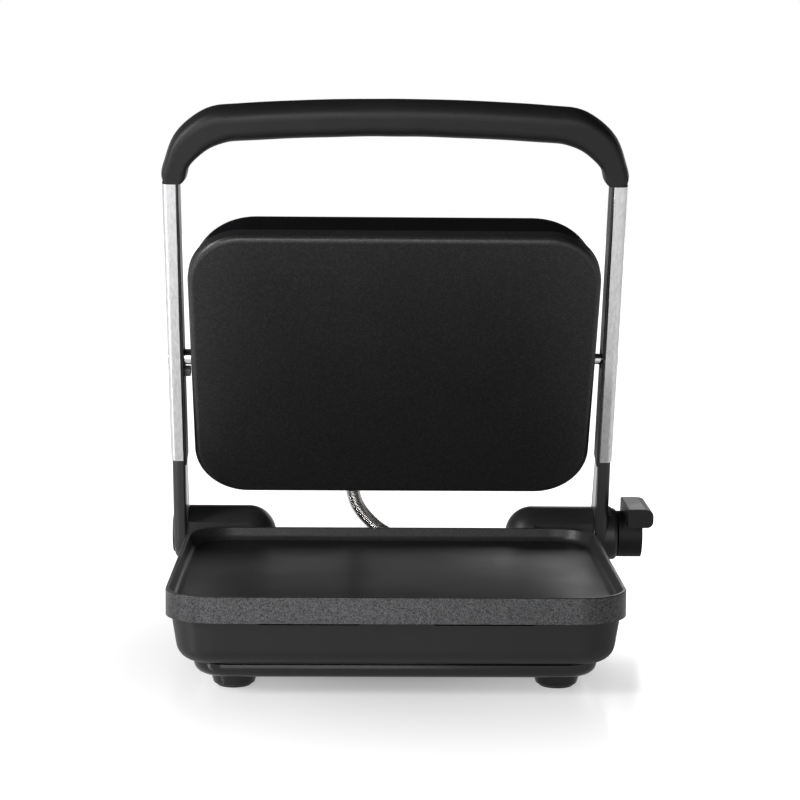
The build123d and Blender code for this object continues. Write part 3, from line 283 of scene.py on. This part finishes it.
def tray_coat():
    """The tray: a flaked grey outside and rim, and a plain satin black floor inside."""
    made, tree, shader, place = start_material("speckled_plate", TRAY_START_COLOUR, TRAY_START_ROUGHNESS)
    cells = flakes(tree, place, TRAY_CELL_SCALE)
    grains = noise(tree, place, TRAY_GRAIN_SCALE, FINE_DETAIL)
    patches = noise(tree, place, TRAY_PATCH_SCALE, COARSE_DETAIL)
    flake = between(tree, spread(tree, cells, 0, 1, 0.0, 1.0), TRAY_FLAKE_DARK, TRAY_FLAKE_LIGHT)
    floor = between(tree, spread(tree, patches, 0, 1), TRAY_FLOOR_DARK, TRAY_FLOOR_LIGHT)
    place_x, place_y, place_z = split_axes(tree, place)
    geometry = tree.nodes.new("ShaderNodeNewGeometry")
    facing_x, facing_y, facing_z = split_axes(tree, geometry.outputs["Normal"])
    flat = spread(tree, facing_z, 0, 1, *LEVEL_FACING)
    low = spread(tree, place_z, 1, 0, *RIM_HEIGHT)
    outward_x = both(tree, "MULTIPLY", facing_x, place_x)
    outward_y = both(tree, "MULTIPLY", facing_y, place_y)
    wall = spread(tree, both(tree, "ADD", outward_x, outward_y), INNER_WALL_SHARE, 0, *INWARD_FACING)
    inside = both(tree, "MAXIMUM", both(tree, "MULTIPLY", flat, low), wall)
    feed(tree, shader, "Base Color", between(tree, inside, flake, floor))
    feed(tree, shader, "Metallic", spread(tree, inside, TRAY_FLAKE_METAL, 0.0, 0.0, 1.0))
    feed(tree, shader, "Roughness", spread(tree, patches, *TRAY_ROUGHNESS))
    shader.inputs["Specular IOR Level"].default_value = TRAY_SPECULAR
    raised(tree, shader, grains, COAT_DEPTH)
    return made


FINISHES = {name: moulded(name, *look) for name, look in MOULDED_LOOKS.items()}
FINISHES.update({name: lined_metal(name, *look) for name, look in METAL_LOOKS.items()})
FINISHES["dark_plate"] = plate_coat()
FINISHES["speckled_plate"] = tray_coat()

# Nodes whose finish differs from that of the other nodes in their slot.
OWN_FINISHES = {
    # The knuckles take the lighter copy of the satin black, a painted highlight.
    "knuckle_left": "knuckle_painted_highlight_black",
    "knuckle_right": "knuckle_painted_highlight_black",
    "arm_trim_left": "trim_chrome",
    "arm_trim_right": "trim_chrome",
    # The lever takes the darker copy of the black plastic, painted shade.
    "lever_body": "lever_painted_shade_black",
    "lever_end_cap": "lever_painted_shade_black",
}


def dress(obj, made):
    obj.data.materials.clear()
    obj.data.materials.append(made)


for subpart in frame["record"]["subparts"]:
    node = nodes[subpart["node"]]
    for slot in node.material_slots:
        slot.material = FINISHES[subpart["material_slot"]]
for name, finish in OWN_FINISHES.items():
    dress(nodes[name], FINISHES[finish])

# ---------------------------------------------------------------- conduit

CONDUIT_ROUTE = [
    (0.0883, 0.19215, 0.0548),
    (0.0603, 0.19215, 0.0548),
    (0.0252, 0.20055, 0.0530),
    (-0.0047, 0.20065, 0.0600),
    (-0.0258, 0.19575, 0.0805),
    (-0.034, 0.18788, 0.09916),
    (-0.034, 0.17751, 0.11834),
]
CONDUIT_RADIUS = 0.006
RIB_PITCH = 0.0016
GROOVE = 0.0004
# How quickly a rib rises out of its groove, and how round its crown is.
RIB_RISE = 1.45
RIB_CROWN = 0.8
RIB_RINGS = 8
RIB_SIDES = 40
SPLIT_SHARE = 0.56
ROUTE_RESOLUTION = 40
PATH_STEPS = 120


def spline_points(route):
    """Points along a smooth spline that has the route's points as its controls."""
    curve = bpy.data.curves.new("conduit_route", "CURVE")
    curve.dimensions = "3D"
    curve.resolution_u = ROUTE_RESOLUTION
    spline = curve.splines.new("NURBS")
    spline.points.add(len(route) - 1)
    for point, place in zip(spline.points, route):
        point.co = (*place, 1)
    spline.order_u = 3
    spline.use_endpoint_u = True
    carrier = bpy.data.objects.new("conduit_route", curve)
    scene.collection.objects.link(carrier)
    bpy.context.view_layer.update()
    line = bpy.data.meshes.new_from_object(carrier)
    points = [vertex.co.copy() for vertex in line.vertices]
    bpy.data.objects.remove(carrier)
    return points


def along(points, travel):
    """The place and heading at a distance along a line of points."""
    for before, after in zip(points, points[1:]):
        step = (after - before).length
        if travel <= step or after is points[-1]:
            return before.lerp(after, min(travel / step, 1.0)), (after - before).normalized()
        travel -= step


def line_length(points):
    return sum((after - before).length for before, after in zip(points, points[1:]))


def part_of_line(points, start, end):
    """Even points along part of a line."""
    return [along(points, start + (end - start) * k / PATH_STEPS)[0] for k in range(PATH_STEPS + 1)]


def ribbed_tube(name, points, start, end):
    """A closed tube with rounded ribs along part of a line."""
    ribs = max(1, round((end - start) / RIB_PITCH))
    rings = ribs * RIB_RINGS
    shape = bmesh.new()
    side = Vector((0, 1, 0))
    loops = []
    for ring in range(rings + 1):
        place, heading = along(points, start + (end - start) * ring / rings)
        side = (side - heading * side.dot(heading)).normalized()
        across = heading.cross(side)
        phase = (ring % RIB_RINGS) / RIB_RINGS
        swell = min(1.0, RIB_RISE * abs(sin(pi * phase)) ** RIB_CROWN)
        radius = CONDUIT_RADIUS - GROOVE * (1 - swell)
        loops.append([
            shape.verts.new(place + radius * (side * cos(turn) + across * sin(turn)))
            for turn in (2 * pi * k / RIB_SIDES for k in range(RIB_SIDES))
        ])
    for lower, upper in zip(loops, loops[1:]):
        for k in range(RIB_SIDES):
            face = shape.faces.new((lower[k - 1], lower[k], upper[k], upper[k - 1]))
            face.smooth = True
    shape.faces.new(loops[0])
    shape.faces.new(loops[-1][::-1])
    bmesh.ops.recalc_face_normals(shape, faces=shape.faces)
    mesh = bpy.data.meshes.new(name)
    shape.to_mesh(mesh)
    shape.free()
    tube = bpy.data.objects.new(name, mesh)
    scene.collection.objects.link(tube)
    dress(tube, FINISHES["conduit_steel"])
    return tube


# The conduit is split between two ribs, into a lower and an upper part.
conduit_line = spline_points(CONDUIT_ROUTE)
conduit_length = line_length(conduit_line)
rib_count = round(conduit_length / RIB_PITCH)
conduit_split = conduit_length * round(rib_count * SPLIT_SHARE) / rib_count
split_place = along(conduit_line, conduit_split)[0]

lower_line = part_of_line(conduit_line, 0, conduit_split)
upper_line = part_of_line(conduit_line, conduit_split, conduit_length)
conduit_lower = ribbed_tube("conduit_lower", conduit_line, 0, conduit_split)
conduit_upper = ribbed_tube("conduit_upper", conduit_line, conduit_split, conduit_length)
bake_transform(conduit_lower)
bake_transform(conduit_upper)
for tube, line in ((conduit_lower, lower_line), (conduit_upper, upper_line)):
    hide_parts("conduit")

# ---------------------------------------------------------------- floor, light and background

WHITE = (1, 1, 1, 1)
FLOOR_SIZE = 12
FLOOR_PLACE = (0, 0, -0.0002)
FLOOR_COLOUR = (0.86, 0.86, 0.86)
FLOOR_START_ROUGHNESS = 0.22
FLOOR_ROUGHNESS = (0.20, 0.24)
FLOOR_MOTTLE_SCALE = 1.5
# The floor's own light rises with the distance from the origin in metres; where it is low, near the part,
# it is painted shadow and a painted dark reflection of the part.
GLOW_LEVELS = (0.23, 0.98)
GLOW_REACH = (0.05, 0.43)
# The share of that light which shiny surfaces show, so that they also show the painted shadow near the
# part.
MIRRORED_GLOW = (0.48, 0.52)


def flat_panel(name, size, place):
    shape = bmesh.new()
    bmesh.ops.create_grid(shape, x_segments=1, y_segments=1, size=size / 2)
    mesh = bpy.data.meshes.new(name)
    shape.to_mesh(mesh)
    shape.free()
    panel = bpy.data.objects.new(name, mesh)
    panel.location = place
    scene.collection.objects.link(panel)
    return panel


def floor_material():
    """White that gives light to the camera and to shiny surfaces, and is darker under the part: a painted
    shadow.
    """
    made, tree, shader, place = start_material("floor_white", FLOOR_COLOUR, FLOOR_START_ROUGHNESS)
    mottle = noise(tree, place, FLOOR_MOTTLE_SCALE, FINE_DETAIL)
    feed(tree, shader, "Roughness", spread(tree, mottle, *FLOOR_ROUGHNESS))
    far = tree.nodes.new("ShaderNodeVectorMath")
    far.operation = "LENGTH"
    tree.links.new(place, far.inputs[0])
    # Lower glow near the origin: painted shadow and painted dark reflection of the part on the floor.
    glow = spread(tree, far.outputs["Value"], *GLOW_LEVELS, *GLOW_REACH)
    path = tree.nodes.new("ShaderNodeLightPath")
    seen = both(tree, "MULTIPLY", path.outputs["Is Camera Ray"], glow)
    shine = both(tree, "MULTIPLY", glow, spread(tree, mottle, *MIRRORED_GLOW))
    shown = both(tree, "MULTIPLY", path.outputs["Is Glossy Ray"], shine)
    shader.inputs["Emission Color"].default_value = WHITE
    feed(tree, shader, "Emission Strength", both(tree, "ADD", seen, shown))
    return made


floor = flat_panel("floor", FLOOR_SIZE, FLOOR_PLACE)
dress(floor, floor_material())

# Each row: name, place, point it is aimed at, width and height in metres, power in watts.
LAMPS = [
    ("front", (-0.6, -2.4, 0.60), (0, 0, 0.2), (1.5, 0.8), 22),
    ("strip_left", (-1.45, -0.60, 0.85), (-0.17, 0.02, 0.26), (0.30, 1.0), 21),
    ("back_right", (0.45, 1.45, 0.38), (0.15, -0.05, 0.07), (0.45, 0.45), 1.3),
]


def soft_light(name, place, aim, size, power):
    lamp = bpy.data.lights.new(name, "AREA")
    lamp.shape = "RECTANGLE"
    lamp.size, lamp.size_y = size
    lamp.energy = power
    holder = bpy.data.objects.new(name, lamp)
    holder.location = place
    holder.rotation_euler = (Vector(aim) - Vector(place)).to_track_quat("-Z", "Y").to_euler()
    scene.collection.objects.link(holder)


for lamp_row in LAMPS:
    soft_light(*lamp_row)

# The world's strength where it lights matt surfaces, and where shiny surfaces show it.
WORLD_LEVELS = (0.45, 1.0)
# It falls off overhead, by the upward part of the direction.
OVERHEAD_LEVELS = (1.0, 0.03)
OVERHEAD_RANGE = (0.05, 0.35)
# It falls off to both sides, by the sideways part of the direction.
ASIDE_LEVELS = (1.0, 0.4)
ASIDE_RANGE = (0.35, 0.85)


def studio():
    """White for the camera, and a light that is brightest near the horizon in front and behind."""
    world = bpy.data.worlds.new("studio")
    world.use_nodes = True
    tree = world.node_tree
    back = tree.nodes["Background"]
    back.inputs["Color"].default_value = WHITE
    path = tree.nodes.new("ShaderNodeLightPath")
    shiny = both(tree, "MAXIMUM", path.outputs["Is Glossy Ray"], path.outputs["Is Transmission Ray"])
    way = tree.nodes.new("ShaderNodeTexCoord")
    way_x, _, way_z = split_axes(tree, way.outputs["Generated"])
    overhead = spread(tree, way_z, *OVERHEAD_LEVELS, *OVERHEAD_RANGE)
    level = spread(tree, shiny, *WORLD_LEVELS, 0.0, 1.0)
    aside = tree.nodes.new("ShaderNodeMath")
    aside.operation = "ABSOLUTE"
    tree.links.new(way_x, aside.inputs[0])
    open_front = spread(tree, aside.outputs["Value"], *ASIDE_LEVELS, *ASIDE_RANGE)
    light = both(tree, "MULTIPLY", both(tree, "MULTIPLY", level, overhead), open_front)
    strength = both(tree, "MAXIMUM", path.outputs["Is Camera Ray"], light)
    tree.links.new(strength, back.inputs["Strength"])
    scene.world = world


studio()
scene.view_settings.view_transform = "Standard"
